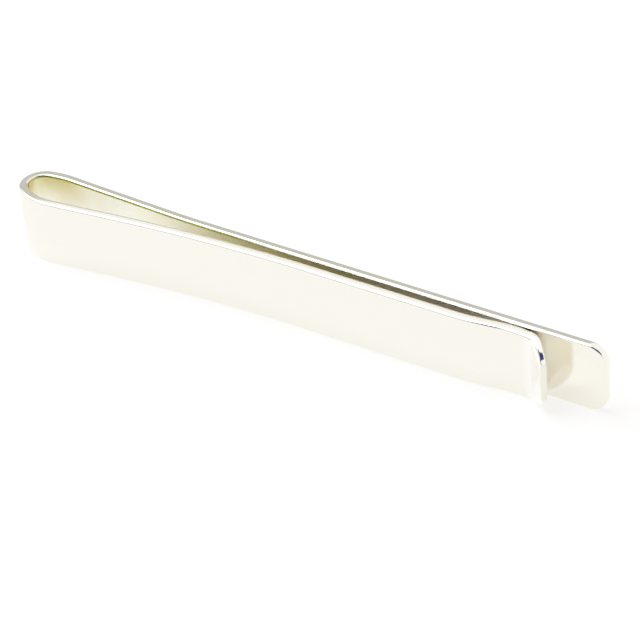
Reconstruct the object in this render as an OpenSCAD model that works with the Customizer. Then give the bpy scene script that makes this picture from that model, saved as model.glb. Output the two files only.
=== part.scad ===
// Slide-on tie clip: one polished sheet-metal strip, folded into a spring.
// The strip stands on its long edge. X runs along the clip, from the loop to the open end,
// Y runs across it, with the long bar at the back, and Z is the strip's width.
// The fold is a chain of straights and bends that starts at the bar's free end, runs round
// the loop and ends at the flared lip. Bend radii are those of the strip's centre line.

/* [Strip] */
// Width of the strip, which is the clip's height as it stands
strip_w = 6; // [4:0.5:9]
// Thickness of the sheet
strip_t = 0.8; // [0.6:0.05:1]
// Rounding of the polished edges
edge_r = 0.2; // [0.1:0.02:0.28]
// Radius of the corners at the two free ends
corner_r = 1.5; // [0.8:0.1:1.9]

/* [Length] */
// Length from the crown of the loop to the bar's free end
overall_len = 55; // [52:1:64]
// Reach of the short arm, from the crown of the loop to the tip of its lip
arm_reach = 51.2; // [46:0.2:54]

/* [Gap] */
// Gap between the bar and the arm where they run side by side
grip_gap = 0.65; // [0.58:0.01:0.8]
// Gap at the pinch, where the arm comes closest to the bar
pinch_gap = 0.24; // [0.16:0.02:0.3]

/* [Loop] */
// Bend radius of the crown
crown_r = 1.6; // [1.45:0.05:1.9]
// Bend radius of the shoulder between the crown and the bar
bar_shoulder_r = 9.8; // [7:0.2:13]
// Turn of that shoulder, in degrees
bar_shoulder_turn = 14.3; // [12:0.1:17]
// Bend radius of the shoulder between the crown and the arm
arm_shoulder_r = 4.8; // [4.2:0.2:6]
// Turn of that shoulder, in degrees
arm_shoulder_turn = 41; // [37:1:46]
// Length of strip past each shoulder that stays with the loop, up to where the strip flexes
loop_root = 2.6; // [1.5:0.1:3.2]

/* [Neck of the bar] */
// Straight stretch of the bar between its root and its ease
bar_neck_len = 7.8; // [6:0.2:11]
// Radius of the shallow bend that eases the neck into the straight bar
bar_ease_r = 62; // [45:1:80]
// Angle between the neck and the straight bar
bar_ease_turn = 2.6; // [1.8:0.1:3.2]

/* [Neck of the arm] */
// Radius of the long bend that eases the neck into the straight arm
arm_ease_r = 155; // [120:5:190]
// Angle between the neck and the straight arm
arm_ease_turn = 7.1; // [6.6:0.1:7.8]

/* [Pinch and lip] */
// Radius of the bend that turns the arm towards the bar
approach_r = 20; // [12:1:22]
// Angle at which the arm closes on the bar
approach_turn = 7.5; // [6.5:0.5:8.5]
// Radius of the bow that rides over the tie at the pinch
bow_r = 11; // [8:0.5:13]
// Turn of the bow past the pinch, in degrees
bow_turn = 7; // [4:0.5:10]
// Radius of the lip's flare
lip_r = 1.7; // [1.3:0.1:2.4]
// Angle of the finished lip to the bar
lip_turn = 37; // [28:1:44]
// Flat length of the lip before its corners round off
lip_flat = 0.3; // [0.1:0.1:1]

/* [Hidden] */
silver = [0.87, 0.86, 0.83];

// A bend has a facet for every few degrees of its turn, and a shallow bend has a least number
bend_step = 4;
least_bend_steps = 6;
// Facets in each rounded edge and in each rounded corner
edge_steps = 3;
corner_steps = 6;

// A run is [length] for a straight and [radius, turn] for a bend, with a left turn positive.
// A pose is [x, y, heading] on the strip's centre line.
function is_bend(run) = len(run) == 2;
function along(pose, run, share) =
    let (a = pose[2])
    is_bend(run)
        ? let (r = run[0] * sign(run[1]), b = a + run[1] * share)
          [pose[0] + r * (sin(b) - sin(a)), pose[1] - r * (cos(b) - cos(a)), b]
        : [pose[0] + run[0] * share * cos(a), pose[1] + run[0] * share * sin(a), a];
function after(pose, run) = along(pose, run, 1);
function after_all(pose, runs, i = 0) =
    i == len(runs) ? pose : after_all(after(pose, runs[i]), runs, i + 1);
// Centre of a left bend that starts at a pose
function bend_centre(pose, r) = [pose[0] - r * sin(pose[2]), pose[1] + r * cos(pose[2])];

// The crown takes up the turn that is left, so that the bar and the arm run parallel
half_turn = 180;
quarter_turn = 90;
crown_turn = half_turn + bar_ease_turn + arm_ease_turn - bar_shoulder_turn - arm_shoulder_turn;

bar_curve = [[bar_ease_r, -bar_ease_turn], [bar_neck_len]];
loop_runs = [
    [loop_root],
    [bar_shoulder_r, bar_shoulder_turn],
    [crown_r, crown_turn],
    [arm_shoulder_r, arm_shoulder_turn],
    [loop_root]
];
arm_ease = [arm_ease_r, -arm_ease_turn];

// Poses round the loop, counted from the end of the straight bar
bar_root_0 = after_all([0, 0, half_turn], bar_curve);
bar_shoulder_0 = after(bar_root_0, loop_runs[0]);
crown_0 = after(bar_shoulder_0, loop_runs[1]);
arm_shoulder_0 = after(crown_0, loop_runs[2]);
arm_root_0 = after_all(arm_shoulder_0, [loop_runs[3], loop_runs[4]]);

// The arm's neck closes in until the grip gap is left between the bar and the arm
pitch = strip_t + grip_gap;
arm_eased_y = after(arm_root_0, arm_ease)[1];
arm_neck_len = (-pitch - arm_eased_y) / sin(arm_ease_turn);
arm_neck_runs = [[arm_neck_len], arm_ease];

// The arm's approach closes in further, until the pinch gap is left
approach_rise = (approach_r + bow_r) * (1 - cos(approach_turn));
approach_len = (grip_gap - pinch_gap - approach_rise) / sin(approach_turn);

// The straights take up the length that the bends leave
crown_tip_x = bend_centre(crown_0, crown_r)[0] - crown_r - strip_t / 2;
bar_straight = overall_len + crown_tip_x;
bow_runs = [[approach_r, approach_turn], [approach_len], [bow_r, -approach_turn - bow_turn]];
lip_runs = [[lip_r, bow_turn - lip_turn], [lip_flat]];
arm_start_x = after_all(arm_root_0, arm_neck_runs)[0] - crown_tip_x;
tail_end = after_all([0, 0, 0], [each bow_runs, each lip_runs]);
// Half the thickness that is square to the edge, before the rounding begins
flat_t = strip_t / 2 - edge_r;
// The tip's furthest point lies on the rounded edge of its outer face
lip_tip_x = tail_end[0] + (corner_r - edge_r) * cos(lip_turn) + flat_t * sin(lip_turn) + edge_r;
arm_straight = arm_reach - arm_start_x - lip_tip_x;

// The origin is the middle of the footprint
loop_back_y = bend_centre(bar_shoulder_0, bar_shoulder_r)[1] + bar_shoulder_r + strip_t / 2;
loop_front_y = bend_centre(arm_shoulder_0, arm_shoulder_r)[1] - arm_shoulder_r - strip_t / 2;
bar_end = [overall_len / 2, -(loop_back_y + loop_front_y) / 2, half_turn];
bar_root = after_all(bar_end, [[bar_straight], each bar_curve]);
arm_root = after_all(bar_root, loop_runs);
// Both free legs are drawn outward from their roots, stretch by stretch
function turned_back(pose) = [pose[0], pose[1], pose[2] - half_turn];
bar_neck_start = turned_back(bar_root);
bar_neck_runs = [[bar_neck_len], [bar_ease_r, bar_ease_turn]];
bar_start = after_all(bar_neck_start, bar_neck_runs);
bar_runs = [[bar_straight - corner_r]];
arm_start = after_all(arm_root, arm_neck_runs);
arm_runs = [[arm_straight]];
bow_start = after_all(arm_start, arm_runs);
lip_start = after_all(bow_start, bow_runs);

// The strip flexes about its outer face at each root, so that opening it squeezes no metal
function outer_face(pose) = [pose[0] + strip_t / 2 * sin(pose[2]), pose[1] - strip_t / 2 * cos(pose[2])];
echo(bar_flex = outer_face(bar_root), arm_flex = outer_face(arm_root));
echo(arm_neck_len = arm_neck_len, approach_len = approach_len, bar_straight = bar_straight);
echo(arm_straight = arm_straight, bar_y = bar_end[1], loop_width = loop_back_y - loop_front_y);

// Distances from a free end at which its rounded corner and then its rounded edge are cut
corner_sweep = asin(1 - edge_r / corner_r);
end_cuts = [
    for (k = [1:corner_steps - 1]) corner_r * (1 - sin(corner_sweep * k / corner_steps)),
    for (k = [0:edge_steps]) edge_r * (1 - sin(quarter_turn * k / edge_steps))
];

// The very tip keeps the section that belongs this far back, so that its corners stay round
tip_share = 0.02;
least_cut = edge_r * tip_share;
// Inset of the rounded edge at a place across the thickness
function inset(y) = y > flat_t ? edge_r - sqrt(max(0, edge_r ^ 2 - (y - flat_t) ^ 2)) : 0;
// Height of the strip's top edge at a distance from a free end
function top(cut, y) =
    let (reach = corner_r - min(cut, corner_r))
    strip_w - corner_r + sqrt(max(0, (corner_r - inset(y)) ^ 2 - reach ^ 2));
// One rounded quarter of the section, from its top towards its side, at a distance from a free end
function quarter(cut) =
    let (spread = sqrt(edge_r ^ 2 - (edge_r - min(cut, edge_r)) ^ 2))
    [
        for (k = [0:edge_steps])
            let (y = flat_t + spread * sin(quarter_turn * k / edge_steps))
            [y, top(cut, y)]
    ];
function reversed(list) = [for (i = [len(list) - 1:-1:0]) list[i]];
// Section of the strip as [across, up], anticlockwise as seen looking back along the run
function section(cut) =
    let (q = quarter(cut))
    [
        for (p = q) [-p[0], p[1]],
        for (p = reversed(q)) [-p[0], strip_w - p[1]],
        for (p = q) [p[0], strip_w - p[1]],
        for (p = reversed(q)) p
    ];
function ring(pose, cut) =
    [for (p = section(cut)) [pose[0] - p[0] * sin(pose[2]), pose[1] + p[0] * cos(pose[2]), p[1]]];

function steps(run) = is_bend(run) ? max(least_bend_steps, ceil(abs(run[1]) / bend_step)) : 1;
function rings(pose, runs, i = 0) =
    i == len(runs) ? [] : [
        for (k = [1:steps(runs[i])]) ring(along(pose, runs[i], k / steps(runs[i])), corner_r),
        each rings(after(pose, runs[i]), runs, i + 1)
    ];
// Rings of a free end past the foot of its corners, which lie at a pose
function end_rings(pose) =
    [for (cut = end_cuts) ring(after(pose, [corner_r - cut]), max(cut, least_cut))];

// Closed skin over a list of rings
module skin(rings) {
    n = len(rings[0]);
    last = len(rings) - 1;
    sides = [
        for (i = [0:last - 1], j = [0:n - 1])
            let (a = i * n + j, b = i * n + (j + 1) % n)
            each [[a, b + n, b], [a, a + n, b + n]]
    ];
    caps = [[for (j = [0:n - 1]) j], [for (j = [n - 1:-1:0]) last * n + j]];
    polyhedron([each each rings], [each sides, each caps], convexity = 4);
}

// A stretch of the strip, cut square at both ends, where the next stretch meets it face to face
module stretch(start, runs) {
    skin([ring(start, corner_r), each rings(start, runs)]);
}

// A stretch of the strip that ends in a rounded free end
module free_stretch(start, runs) {
    foot = after_all(start, runs);
    skin([ring(start, corner_r), each rings(start, runs), each end_rings(foot)]);
}

// The long straight bar, which shows on the tie
module long_bar() {
    color(silver) free_stretch(bar_start, bar_runs);
}

// The neck that eases the bar out to the loop
module bar_neck() {
    color(silver) stretch(bar_neck_start, bar_neck_runs);
}

// The teardrop loop, which is the spring
module spring_loop() {
    color(silver) stretch(bar_root, loop_runs);
}

// The neck and long ease that bring the arm in beside the bar
module arm_neck() {
    color(silver) stretch(arm_root, arm_neck_runs);
}

// The straight of the short arm, behind the tie
module short_arm() {
    color(silver) stretch(arm_start, arm_runs);
}

// The bow that closes in on the bar and pinches the tie
module pinch_bow() {
    color(silver) stretch(bow_start, bow_runs);
}

// The lip that flares away from the bar and leads the tie in
module flared_lip() {
    color(silver) free_stretch(lip_start, lip_runs);
}

long_bar();
bar_neck();
spring_loop();
arm_neck();
short_arm();
pinch_bow();
flared_lip();
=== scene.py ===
import math

import bpy
from mathutils import Matrix, Vector

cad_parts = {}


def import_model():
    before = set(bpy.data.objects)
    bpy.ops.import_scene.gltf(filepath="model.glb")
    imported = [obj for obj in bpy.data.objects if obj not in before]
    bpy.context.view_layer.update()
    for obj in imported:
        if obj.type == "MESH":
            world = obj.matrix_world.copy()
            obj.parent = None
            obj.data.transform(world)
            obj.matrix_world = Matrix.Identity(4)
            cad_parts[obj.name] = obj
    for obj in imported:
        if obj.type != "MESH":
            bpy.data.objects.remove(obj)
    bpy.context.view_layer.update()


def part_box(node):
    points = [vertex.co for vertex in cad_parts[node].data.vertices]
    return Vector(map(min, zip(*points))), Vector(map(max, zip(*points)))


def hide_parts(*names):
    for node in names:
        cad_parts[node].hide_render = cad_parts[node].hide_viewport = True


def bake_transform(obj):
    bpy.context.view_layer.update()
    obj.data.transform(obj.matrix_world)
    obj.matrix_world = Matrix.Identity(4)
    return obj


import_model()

# The strip is drawn in millimetres and degrees, and then scaled to metres
MM = 0.001

# Bends of the strip, as (radius, turn) on its centre line, with a left turn positive
BAR_EASE = (62, -2.6)
BAR_SHOULDER = (9.8, 14.3)
CROWN_R = 1.6
ARM_SHOULDER = (4.8, 41)
ARM_EASE = (155, -7.1)
APPROACH = (20, 7.5)
BOW = (11, -14.5)
LIP = (1.7, -30)

# Straight stretches between the bends
BAR_NECK_LEN = 7.8
LOOP_ROOT = 2.6
LIP_FLAT = 0.3

# Rounding of the strip's edges and of the corners at its free ends
EDGE_R = 0.2
CORNER_R = 1.5

# Wear of the edges towards the strip's outer side, as height gone per square millimetre across,
# and the distances from the crown between which it sets in
EDGE_WEAR = 0.12
WEAR_FROM, WEAR_TO = 3, 6

# Length over which the lip is filed, the metal gone from its inner side at the tip,
# and the rounding of its corners
LIP_FILED_LEN = 2.4
LIP_THINNING = 0.22
LIP_CORNER_R = 2.1

# Rounding of the lip's outer edge, how much further it reaches down the face than across the edge,
# and the distances from the tip between which it sets in and fades again
LIP_EDGE_R = 0.33
LIP_EDGE_REACH = 1.6
LIP_ROUND_FROM, LIP_ROUND_TO = 3, 1.6
LIP_FADE_FROM, LIP_FADE_TO = 0.6, 0.1

# Fineness of the mesh along the strip: most degrees a step, fewest steps in a bend, and longest step
BEND_STEP = 1
LEAST_BEND_STEPS = 12
LONGEST_STEP = 0.5

# Fineness of the mesh round the strip: steps over a rounded edge, over half of the flat between two,
# and over a rounded corner
EDGE_STEPS = 8
FLAT_STEPS = 3
CORNER_STEPS = 14

# Distance of the extra section or point beside each change of curve, along the strip and round it,
# and the least cut at a free end, which keeps the points of its rim apart
SUPPORT = 0.02
LEAST_CUT = 0.0008

# Name of the mesh attribute that holds the place on the unrolled strip: along, across and up
UNROLLED = "unrolled"


def size_mm(node):
    """Lowest and highest corner of a CAD node, in millimetres."""
    low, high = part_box(node)
    return Vector(low) / MM, Vector(high) / MM


BAR_LOW, BAR_HIGH = size_mm("long_bar")
ARM_LOW, ARM_HIGH = size_mm("short_arm")
BOW_HIGH = size_mm("pinch_bow")[1]
WIDTH = ARM_HIGH.z - ARM_LOW.z
THICKNESS = ARM_HIGH.y - ARM_LOW.y
FLAT = THICKNESS / 2 - EDGE_R


def advance(pose, run, share=1.0):
    """Pose (x, y, heading) on the centre line after a share of a run."""
    x, y, heading = pose
    a = math.radians(heading)
    if len(run) == 1:
        return x + run[0] * share * math.cos(a), y + run[0] * share * math.sin(a), heading
    b = math.radians(heading + run[1] * share)
    r = math.copysign(run[0], run[1])
    return x + r * (math.sin(b) - math.sin(a)), y - r * (math.cos(b) - math.cos(a)), heading + run[1] * share


def run_length(run):
    """Length of a straight or of a bend along the centre line."""
    return run[0] if len(run) == 1 else run[0] * math.radians(abs(run[1]))


def shares(run):
    """Shares of a run at which the strip has a section, closer together beside its two ends."""
    length = run_length(run)
    steps = math.ceil(length / LONGEST_STEP)
    if len(run) == 2:
        steps = max(steps, LEAST_BEND_STEPS, math.ceil(abs(run[1]) / BEND_STEP))
    near = min(SUPPORT / length, 0.5 / steps)
    return [near, *[k / steps for k in range(1, steps)], 1 - near, 1]


def end_cuts(corner_r):
    """Distances from a free end at which its rounded corner and then its rounded edge are cut."""
    sweep = math.asin(1 - EDGE_R / corner_r)
    corner = [corner_r * (1 - math.sin(sweep * k / CORNER_STEPS)) for k in range(1, CORNER_STEPS)]
    edge = [EDGE_R * (1 - math.sin(math.pi / 2 * k / EDGE_STEPS)) for k in range(EDGE_STEPS + 1)]
    return corner + edge


def inset(y, r):
    """How far an edge rounded to a radius lies in from the square one, at a place across the strip."""
    past = y - (THICKNESS / 2 - r)
    return r - math.sqrt(max(0, r ** 2 - past ** 2)) if past > 0 else 0


def top(cut, y, r, corner_r, reach):
    """Height of the strip's top edge at a distance from a free end."""
    past = corner_r - min(cut, corner_r)
    return WIDTH - corner_r + math.sqrt(max(0, (corner_r - reach * inset(y, r)) ** 2 - past ** 2))


def eased(value, start, end):
    """0 up to the start and 1 past the end, with a soft change between them."""
    share = min(1, max(0, (value - start) / (end - start)))
    return share ** 2 * (3 - 2 * share)


def worn(across, up, wear):
    """A point of the outline, with the edges worn down a little towards the strip's outer side."""
    gone = wear * (FLAT - min(across, FLAT)) ** 2
    return across, up - gone if up > WIDTH / 2 else up + gone


def side(cut, corner_r, r=EDGE_R, reach=1):
    """One side of the outline, from the top edge down, with its two edges rounded to a radius."""
    flat = THICKNESS / 2 - r
    spread = math.sqrt(r ** 2 - (r - min(cut, r)) ** 2)
    arc = [flat + spread * math.sin(math.pi / 2 * k / EDGE_STEPS) for k in range(EDGE_STEPS + 1)]
    crest = top(cut, flat, r, corner_r, reach)
    half = [(flat * k / FLAT_STEPS, crest) for k in range(1, FLAT_STEPS)]
    half += [(flat - SUPPORT, crest), *[(y, top(cut, y, r, corner_r, reach)) for y in arc]]
    half.append((arc[-1], half[-1][1] - SUPPORT))
    return half + [(y, WIDTH - z) for y, z in reversed(half)]


def section(cut, corner_r=CORNER_R, rounded=0, wear=0):
    """Outline of the strip as (across, up), with the same number of points on its two sides."""
    outer_r = EDGE_R + (LIP_EDGE_R - EDGE_R) * rounded
    outer = side(cut, corner_r, outer_r, 1 + (LIP_EDGE_REACH - 1) * rounded)
    return [worn(y, z, wear) for y, z in side(cut, corner_r) + [(-y, z) for y, z in reversed(outer)]]


def crown_turn():
    """Turn of the crown that leaves the bar and the arm parallel."""
    return 180 - BAR_EASE[1] - ARM_EASE[1] - BAR_SHOULDER[1] - ARM_SHOULDER[1]


def bar_runs():
    """The long bar, its neck and the loop up to the middle of the crown, after the rounded end."""
    return [
        (BAR_HIGH.x - BAR_LOW.x - CORNER_R,),
        BAR_EASE,
        (BAR_NECK_LEN,),
        (LOOP_ROOT,),
        BAR_SHOULDER,
        (CROWN_R, crown_turn() / 2),
    ]


def arm_runs(crown_pose):
    """The rest of the loop and the short arm up to its rounded end."""
    loop = [(CROWN_R, crown_turn() / 2), ARM_SHOULDER, (LOOP_ROOT,)]
    pose = crown_pose
    for run in loop:
        pose = advance(pose, run)
    arm_y = (ARM_LOW.y + ARM_HIGH.y) / 2
    neck = (arm_y - advance(pose, ARM_EASE)[1]) / math.sin(math.radians(-ARM_EASE[1]))
    bends_rise = (APPROACH[0] + BOW[0]) * (1 - math.cos(math.radians(APPROACH[1])))
    closing = (BOW_HIGH.y - ARM_HIGH.y - bends_rise) / math.sin(math.radians(APPROACH[1]))
    straight = ARM_HIGH.x - ARM_LOW.x
    return loop + [(neck,), ARM_EASE, (straight,), APPROACH, (closing,), BOW, LIP, (LIP_FLAT,)]


def stations(pose, distance, runs):
    """Sections over a list of runs, as (pose, cut, distance along the strip), from the start pose on."""
    found = [(pose, CORNER_R, distance)]
    for run in runs:
        for share in shares(run):
            found.append((advance(pose, run, share), CORNER_R, distance + run_length(run) * share))
        pose = advance(pose, run)
        distance += run_length(run)
    return found


def bar_stations():
    """Sections of the bar's half, from its free end to the middle of the crown."""
    tip = (BAR_HIGH.x, (BAR_LOW.y + BAR_HIGH.y) / 2, 180)
    found = [(advance(tip, (cut,)), max(cut, LEAST_CUT), cut) for cut in reversed(end_cuts(CORNER_R))]
    foot = advance(tip, (CORNER_R,))
    return found + stations(foot, CORNER_R, bar_runs())


def arm_stations(start, distance):
    """Sections of the arm's half, from the middle of the crown to the tip of the lip."""
    found = stations(start, distance, arm_runs(start))
    foot, _, gone = found[-1]
    tip = gone + CORNER_R
    found = [(pose, tip - at, at) for pose, _, at in found]
    for cut in end_cuts(LIP_CORNER_R):
        if cut < CORNER_R:
            found.append((advance(foot, (CORNER_R - cut,)), max(cut, LEAST_CUT), tip - cut))
    return found


def strip_mesh(name, places, crown_distance, corner_r=CORNER_R, lip_end=math.inf):
    """Closed mesh of the strip over a list of sections, with its distances counted from the crown."""
    points, unrolled, faces = [], [], []
    for (x, y, heading), cut, distance in places:
        a = math.radians(heading)
        left = lip_end - distance
        thinning = LIP_THINNING * eased(left, LIP_FILED_LEN, 0)
        rounded = eased(left, LIP_ROUND_FROM, LIP_ROUND_TO) * eased(left, LIP_FADE_TO, LIP_FADE_FROM)
        wear = EDGE_WEAR * eased(abs(distance - crown_distance), WEAR_FROM, WEAR_TO)
        for across, up in section(cut, corner_r, rounded, wear):
            unrolled.append((distance - crown_distance, across, up))
            across -= thinning * (across / THICKNESS + 0.5)
            points.append(Vector((x - across * math.sin(a), y + across * math.cos(a), up)) * MM)
    n = len(section(CORNER_R))
    last = (len(places) - 1) * n
    for i in range(len(places) - 1):
        for j in range(n):
            a, b = i * n + j, i * n + (j + 1) % n
            faces.append((a, a + n, b + n, b))
    for j in range(n // 2 - 1):
        cap = (j, j + 1, n - 2 - j, n - 1 - j)
        faces.append(cap)
        faces.append(tuple(last + k for k in reversed(cap)))
    mesh = bpy.data.meshes.new(name)
    mesh.from_pydata(points, [], faces)
    mesh.polygons.foreach_set("use_smooth", [True] * len(mesh.polygons))
    layer = mesh.attributes.new(UNROLLED, "FLOAT_VECTOR", "POINT")
    layer.data.foreach_set("vector", [c for p in unrolled for c in p])
    return mesh


def sharpen_ring(mesh, first, n):
    """The edges of a square cut stay sharp, so that the side next to it shades as if it ran on."""
    ring = set(range(first, first + n))
    for edge in mesh.edges:
        if edge.vertices[0] in ring and edge.vertices[1] in ring:
            edge.use_edge_sharp = True


def place(name, mesh, material):
    """Adds a mesh to the scene."""
    mesh.materials.append(material)
    obj = bpy.data.objects.new(name, mesh)
    bpy.context.scene.collection.objects.link(obj)
    return obj


def new_material(name):
    """Material with an output node only, as the material, its tree and the output."""
    material = bpy.data.materials.new(name)
    material.use_nodes = True
    tree = material.node_tree
    tree.nodes.clear()
    return material, tree, tree.nodes.new("ShaderNodeOutputMaterial")


def fill(tree, socket, value):
    """Sets an input to a fixed value, or links it to another node's output."""
    if isinstance(value, bpy.types.NodeSocket):
        tree.links.new(value, socket)
    else:
        socket.default_value = value


def computed(tree, operation, *values):
    """Result of a Math node. Each value is fixed or a socket."""
    node = tree.nodes.new("ShaderNodeMath")
    node.operation = operation
    for socket, value in zip(node.inputs, values):
        fill(tree, socket, value)
    return node.outputs["Value"]


def product(tree, a, b):
    """Product of two values."""
    return computed(tree, "MULTIPLY", a, b)


def separated(tree, vector):
    """The three parts of a vector."""
    node = tree.nodes.new("ShaderNodeSeparateXYZ")
    tree.links.new(vector, node.inputs["Vector"])
    return [node.outputs[axis] for axis in "XYZ"]


def ranged(tree, value, low, high, to_low=0.0, to_high=1.0, smooth=True):
    """Value carried from one range to another, held at both ends."""
    node = tree.nodes.new("ShaderNodeMapRange")
    node.interpolation_type = "SMOOTHSTEP" if smooth else "LINEAR"
    node.inputs["From Min"].default_value = low
    node.inputs["From Max"].default_value = high
    node.inputs["To Min"].default_value = to_low
    node.inputs["To Max"].default_value = to_high
    tree.links.new(value, node.inputs["Value"])
    return node.outputs["Result"]


# The two colours and the result among the sockets of a Mix node
MIX_A, MIX_B, MIX_RESULT = 6, 7, 2


def mixed(tree, share, a, b):
    """Colour a, or colour b where the share is 1. Each is fixed or a socket."""
    node = tree.nodes.new("ShaderNodeMix")
    node.data_type = "RGBA"
    tree.links.new(share, node.inputs["Factor"])
    fill(tree, node.inputs[MIX_A], a)
    fill(tree, node.inputs[MIX_B], b)
    return node.outputs[MIX_RESULT]


def stretched_noise(tree, source, stretch, scale, detail):
    """Noise over the unrolled strip, stretched along it, across it and up it."""
    mapping = tree.nodes.new("ShaderNodeMapping")
    mapping.inputs["Scale"].default_value = stretch
    tree.links.new(source, mapping.inputs["Vector"])
    noise = tree.nodes.new("ShaderNodeTexNoise")
    noise.inputs["Scale"].default_value = scale
    noise.inputs["Detail"].default_value = detail
    tree.links.new(mapping.outputs["Vector"], noise.inputs["Vector"])
    return noise.outputs["Fac"]


def bumped(tree, source, noise, height, under=None):
    """Normal of a surface that noise raises by a height in millimetres, on top of the normal under it."""
    bump = tree.nodes.new("ShaderNodeBump")
    bump.inputs["Strength"].default_value = 1
    bump.inputs["Distance"].default_value = height * MM
    tree.links.new(stretched_noise(tree, source, *noise), bump.inputs["Height"])
    if under is not None:
        tree.links.new(under, bump.inputs["Normal"])
    return bump.outputs["Normal"]


# Silver of the outer side, brighter on the lip as a painted highlight and darker at its tip as painted
# shade, with the distances from the crown between which each of these sets in
SILVER = (0.933, 0.913, 0.838, 1)
LIP_HIGHLIGHT_SILVER = (1, 0.985, 0.95, 1)
LIP_HIGHLIGHT_SILVER_START = (49.3, 50.8)
TIP_SHADE_SILVER = (0.87, 0.85, 0.76, 1)
TIP_SHADE_SILVER_START = (52.25, 52.45)

# Silver of the inner side by distance from the crown, with painted light and shade: lightest from 6 to
# 10 mm, where the walls mirror the shadowed floor inside the loop, and darker from 16 mm on, along the
# gap between the bar and the arm; and the distance that its colour ramp spans
INNER_LIGHT_AND_SHADE_SILVER = (
    (6, (0.985, 0.975, 0.91, 1)),
    (10, (1, 0.992, 0.945, 1)),
    (16, (0.905, 0.89, 0.8, 1)),
    (25, (0.88, 0.865, 0.775, 1)),
    (38, (0.88, 0.865, 0.825, 1)),
    (47, (0.89, 0.876, 0.845, 1)),
    (52, (0.94, 0.915, 0.832, 1)),
)
INNER_REACH = 56

# Painted shade: khaki inside the crown, towards the top, under the rim where the loop mirrors itself:
# the distances from the crown over which it goes, and the heights between which it sets in
KHAKI_SHADE_SILVER = (0.74, 0.68, 0.39, 1)
KHAKI_SHADE_END = (6.5, 3.5)
KHAKI_SHADE_HEIGHT = (2.8, 6.2)

# Painted shade: a dark olive line low in the rounding of the bar's inner top edge: where it sets in at the
# crown, with the bar's side negative, the distances from the crown over which it ends, and its depths under
# the edge
RIM_SHADE = (0.42, 0.46, 0.17, 1)
RIM_SHADE_START = (0.5, -1)
RIM_SHADE_END = (27, 20)
RIM_SHADE_TOP = (0.01, 0.05)
RIM_SHADE_FOOT = (0.27, 0.19)

# Polish of the metal: its noise as (stretch, scale, detail), the range of that noise, the roughness
# that it gives, and how much rougher the inner side is
POLISH_NOISE = ((0.5, 1, 1), 1.4, 4)
POLISH_RANGE = (0.35, 0.7)
POLISH_ROUGHNESS = (0.05, 0.12)
INNER_BLUR = 0.07

# Slow swell of the surface and its fine scratches, as noise and height in millimetres
SWELL_NOISE = ((0.25, 1, 0.6), 1, 1)
SWELL_HEIGHT = 0.003
SCRATCH_NOISE = ((0.6, 8, 8), 3, 3)
SCRATCH_HEIGHT = 0.0006


def outer_silver(tree, along):
    """Colour of the outer side, with a painted highlight on the lip and painted shade at its tip."""
    lip_highlight = ranged(tree, along, *LIP_HIGHLIGHT_SILVER_START)
    tip_shade = ranged(tree, along, *TIP_SHADE_SILVER_START)
    return mixed(tree, lip_highlight, SILVER, mixed(tree, tip_shade, LIP_HIGHLIGHT_SILVER, TIP_SHADE_SILVER))


def inner_silver(tree, from_crown, up):
    """Colour of the inner side, with painted light and shade along it and painted shade inside the crown."""
    ramp = tree.nodes.new("ShaderNodeValToRGB")
    stops = ramp.color_ramp.elements
    while len(stops) < len(INNER_LIGHT_AND_SHADE_SILVER):
        stops.new(0.5)
    for stop, (distance, colour) in zip(stops, INNER_LIGHT_AND_SHADE_SILVER):
        stop.position = distance / INNER_REACH
        stop.color = colour
    fill(tree, ramp.inputs["Fac"], ranged(tree, from_crown, 0, INNER_REACH, smooth=False))
    # Painted shade: khaki inside the crown, towards the top
    khaki = product(tree, ranged(tree, from_crown, *KHAKI_SHADE_END), ranged(tree, up, *KHAKI_SHADE_HEIGHT))
    return mixed(tree, khaki, ramp.outputs["Color"], KHAKI_SHADE_SILVER)


def rim_shaded(tree, along, from_crown, up, inside):
    """1 on the painted shade line along the bar's inner top edge, and 0 away from it."""
    on_bar = product(tree, ranged(tree, along, *RIM_SHADE_START), ranged(tree, from_crown, *RIM_SHADE_END))
    below = ranged(tree, up, *(WIDTH - depth for depth in RIM_SHADE_TOP))
    above = ranged(tree, up, *(WIDTH - depth for depth in RIM_SHADE_FOOT))
    return product(tree, inside, product(tree, on_bar, product(tree, below, above)))


def silver_material():
    """Polished warm silver, rougher inside, with painted light and shade in its colour, fine wear and a
    little hand-made unevenness.
    """
    material, tree, output = new_material("polished_silver")
    shader = tree.nodes.new("ShaderNodeBsdfPrincipled")
    shader.inputs["Metallic"].default_value = 1
    tree.links.new(shader.outputs["BSDF"], output.inputs["Surface"])
    place_on_strip = tree.nodes.new("ShaderNodeAttribute")
    place_on_strip.attribute_name = UNROLLED
    here = place_on_strip.outputs["Vector"]
    along, across, up = separated(tree, here)
    from_crown = computed(tree, "ABSOLUTE", along)
    inside = ranged(tree, across, FLAT, THICKNESS / 2)

    colour = mixed(tree, inside, outer_silver(tree, along), inner_silver(tree, from_crown, up))
    # Painted shade: a dark olive line on the bar's inner top edge
    line = rim_shaded(tree, along, from_crown, up, inside)
    fill(tree, shader.inputs["Base Color"], mixed(tree, line, colour, RIM_SHADE))

    polish = ranged(tree, stretched_noise(tree, here, *POLISH_NOISE), *POLISH_RANGE, *POLISH_ROUGHNESS)
    fill(tree, shader.inputs["Roughness"], computed(tree, "MULTIPLY_ADD", inside, INNER_BLUR, polish))

    swell = bumped(tree, here, SWELL_NOISE, SWELL_HEIGHT)
    fill(tree, shader.inputs["Normal"], bumped(tree, here, SCRATCH_NOISE, SCRATCH_HEIGHT, swell))
    return material


# Floor: its side in metres, the grey that takes the shadow, and the colour and strength of its glow
FLOOR_SIZE = 1.2
FLOOR_COLOR = (0.17, 0.19, 0.23, 1)
FLOOR_GLOW_COLOR = (1, 0.977, 0.931, 1)
FLOOR_GLOW = 0.86


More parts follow.
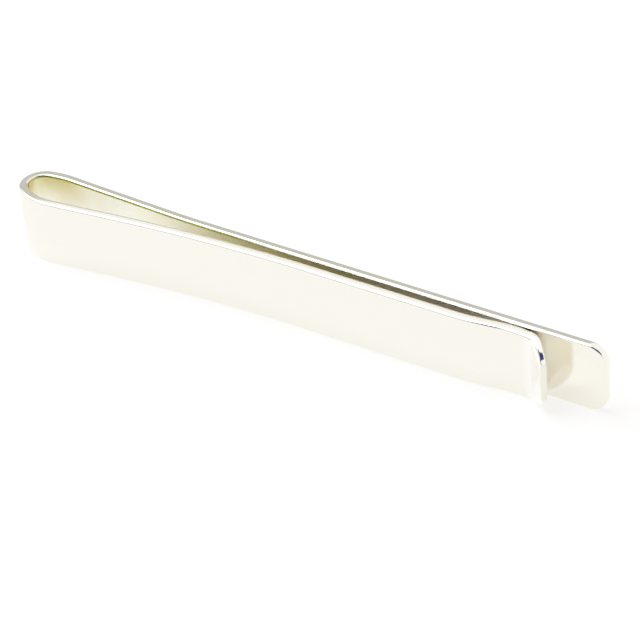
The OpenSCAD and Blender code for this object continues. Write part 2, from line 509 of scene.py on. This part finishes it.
def seen_directly(tree):
    """1 for camera, glossy and transmission rays, and 0 for the others."""
    ray = tree.nodes.new("ShaderNodeLightPath").outputs
    first = computed(tree, "MAXIMUM", ray["Is Camera Ray"], ray["Is Glossy Ray"])
    return computed(tree, "MAXIMUM", first, ray["Is Transmission Ray"])


def floor_material():
    """White floor: a grey that takes the shadow, and a glow that lifts it to white."""
    material, tree, output = new_material("white_floor")
    diffuse = tree.nodes.new("ShaderNodeBsdfDiffuse")
    diffuse.inputs["Color"].default_value = FLOOR_COLOR
    glow = tree.nodes.new("ShaderNodeEmission")
    glow.inputs["Color"].default_value = FLOOR_GLOW_COLOR
    fill(tree, glow.inputs["Strength"], product(tree, seen_directly(tree), FLOOR_GLOW))
    both = tree.nodes.new("ShaderNodeAddShader")
    tree.links.new(diffuse.outputs["BSDF"], both.inputs[0])
    tree.links.new(glow.outputs["Emission"], both.inputs[1])
    tree.links.new(both.outputs["Shader"], output.inputs["Surface"])
    return material


def floor():
    """Floor that the clip stands on."""
    half = FLOOR_SIZE / 2
    corners = [(-half, -half, 0), (half, -half, 0), (half, half, 0), (-half, half, 0)]
    mesh = bpy.data.meshes.new("floor")
    mesh.from_pydata(corners, [], [(0, 1, 2, 3)])
    place("floor", mesh, floor_material())


# Studio: its strength as diffuse light, where what is seen or mirrored of it has 1, and its colours
WORLD_FILL = 0.44
WHITE = (1, 1, 1, 1)
BACK_GREY = (0.58, 0.58, 0.55, 1)
FRONT_GREY = (0.3, 0.29, 0.28, 1)
DARK = (0.04, 0.05, 0.14, 1)

# Limits of the grey at the back on the left, and of the grey strip in front, as parts of a direction
BACK_Y = (0.1, 0.35)
BACK_X = (0.1, -0.2)
BACK_FOOT = (0.1, 0.25)
BACK_TOP = (0.58, 0.54)
FRONT_Y = (-0.35, -0.6)
FRONT_FOOT = (0.08, 0.16)
FRONT_TOP = (0.3, 0.2)

# Directions of the two dark spots, the foot of the one on the right, and the degrees from its middle
# at which a spot is fully dark and at which it ends
DARK_RIGHT = (0.65, -0.48, 0.59)
DARK_FRONT = (0.1, -0.76, 0.64)
DARK_RIGHT_FOOT = (0.36, 0.46)
DARK_CORE, DARK_EDGE = 20, 29


def near_direction(tree, direction, way):
    """1 round one direction of the world, and 0 away from it."""
    towards = tree.nodes.new("ShaderNodeVectorMath")
    towards.operation = "DOT_PRODUCT"
    towards.inputs[1].default_value = Vector(way).normalized()
    tree.links.new(direction, towards.inputs[0])
    edge, core = (math.cos(math.radians(a)) for a in (DARK_EDGE, DARK_CORE))
    return ranged(tree, towards.outputs["Value"], edge, core)


def world():
    """Studio round the clip: white, with a grey back on the left, a grey strip and two dark spots."""
    studio = bpy.data.worlds.new("studio")
    bpy.context.scene.world = studio
    studio.use_nodes = True
    tree = studio.node_tree
    tree.nodes.clear()
    output = tree.nodes.new("ShaderNodeOutputWorld")
    background = tree.nodes.new("ShaderNodeBackground")
    tree.links.new(background.outputs["Background"], output.inputs["Surface"])
    direction = tree.nodes.new("ShaderNodeTexCoord").outputs["Generated"]
    x, y, z = separated(tree, direction)

    behind = product(tree, ranged(tree, y, *BACK_Y), ranged(tree, x, *BACK_X))
    raised = product(tree, ranged(tree, z, *BACK_FOOT), ranged(tree, z, *BACK_TOP))
    low = product(tree, ranged(tree, z, *FRONT_FOOT), ranged(tree, z, *FRONT_TOP))
    in_front = product(tree, ranged(tree, y, *FRONT_Y), low)
    on_right = product(tree, near_direction(tree, direction, DARK_RIGHT), ranged(tree, z, *DARK_RIGHT_FOOT))
    ahead = near_direction(tree, direction, DARK_FRONT)

    colour = mixed(tree, product(tree, behind, raised), WHITE, BACK_GREY)
    colour = mixed(tree, in_front, colour, FRONT_GREY)
    colour = mixed(tree, on_right, colour, DARK)
    fill(tree, background.inputs["Color"], mixed(tree, ahead, colour, DARK))
    strength = ranged(tree, seen_directly(tree), 0, 1, WORLD_FILL, 1, smooth=False)
    fill(tree, background.inputs["Strength"], strength)


# Lamp: its direction and distance from the clip and its side, in metres, and its power in watts
KEY_DIRECTION = (-0.5, -0.08, 0.86)
KEY_DISTANCE = 0.55
KEY_SIZE = 0.42
KEY_POWER = 2.4


def key_light():
    """Soft lamp above the clip, on the left."""
    data = bpy.data.lights.new("key", "AREA")
    data.size = KEY_SIZE
    data.energy = KEY_POWER
    lamp = bpy.data.objects.new("key", data)
    way = Vector(KEY_DIRECTION).normalized()
    lamp.location = way * KEY_DISTANCE
    lamp.rotation_euler = way.to_track_quat("Z", "Y").to_euler()
    bpy.context.scene.collection.objects.link(lamp)


# Camera: its place round its target, in degrees and millimetres, its lens and sensor in millimetres,
# and the nearest and furthest distances that it sees, in metres
CAMERA_AZIMUTH = 36.129
CAMERA_ELEVATION = 34.975
CAMERA_ROLL = -4.85
CAMERA_DISTANCE = 220
CAMERA_TARGET = (2.166, 0, 1.128)
CAMERA_LENS = 154.776
SENSOR_WIDTH = 36
CAMERA_NEAR, CAMERA_FAR = 0.01, 10


def camera():
    """Camera at the photograph's viewing angle."""
    azimuth, elevation = math.radians(CAMERA_AZIMUTH), math.radians(CAMERA_ELEVATION)
    roll = math.radians(CAMERA_ROLL)
    back = Vector((
        math.sin(azimuth) * math.cos(elevation),
        -math.cos(azimuth) * math.cos(elevation),
        math.sin(elevation),
    ))
    level_right = (-back).cross(Vector((0, 0, 1))).normalized()
    level_up = level_right.cross(-back)
    right = math.cos(roll) * level_right + math.sin(roll) * level_up
    up = -math.sin(roll) * level_right + math.cos(roll) * level_up
    data = bpy.data.cameras.new("camera")
    data.lens = CAMERA_LENS
    data.sensor_width = SENSOR_WIDTH
    data.clip_start = CAMERA_NEAR
    data.clip_end = CAMERA_FAR
    seer = bpy.data.objects.new("camera", data)
    turn = Matrix((right, up, back)).transposed().to_4x4()
    seer.matrix_world = Matrix.Translation((Vector(CAMERA_TARGET) + CAMERA_DISTANCE * back) * MM) @ turn
    bpy.context.scene.collection.objects.link(seer)
    bpy.context.scene.camera = seer


def bar_half(silver):
    """The long bar, its neck and the back half of the loop."""
    places = bar_stations()
    mesh = strip_mesh("bar_half", places, places[-1][2])
    n = len(section(CORNER_R))
    sharpen_ring(mesh, (len(places) - 1) * n, n)
    obj = place("bar_half", mesh, silver)
    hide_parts("long_bar", "bar_neck", "spring_loop")
    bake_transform(obj)
    return places[-1]


def arm_half(silver, start, distance):
    """The front half of the loop and the short arm, with its bow and its lip."""
    places = arm_stations(start, distance)
    mesh = strip_mesh("arm_half", places, distance, LIP_CORNER_R, places[-1][2])
    sharpen_ring(mesh, 0, len(section(CORNER_R)))
    obj = place("arm_half", mesh, silver)
    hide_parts("spring_loop", "arm_neck", "short_arm", "pinch_bow", "flared_lip")
    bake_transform(obj)


# Most times that light bounces, enough for the mirrors inside the loop
BOUNCES = 24

silver = silver_material()
crown_pose, _, crown_distance = bar_half(silver)
arm_half(silver, crown_pose, crown_distance)
floor()
world()
key_light()
camera()

scene = bpy.context.scene
scene.view_settings.view_transform = "Standard"
scene.cycles.max_bounces = BOUNCES
scene.cycles.glossy_bounces = BOUNCES
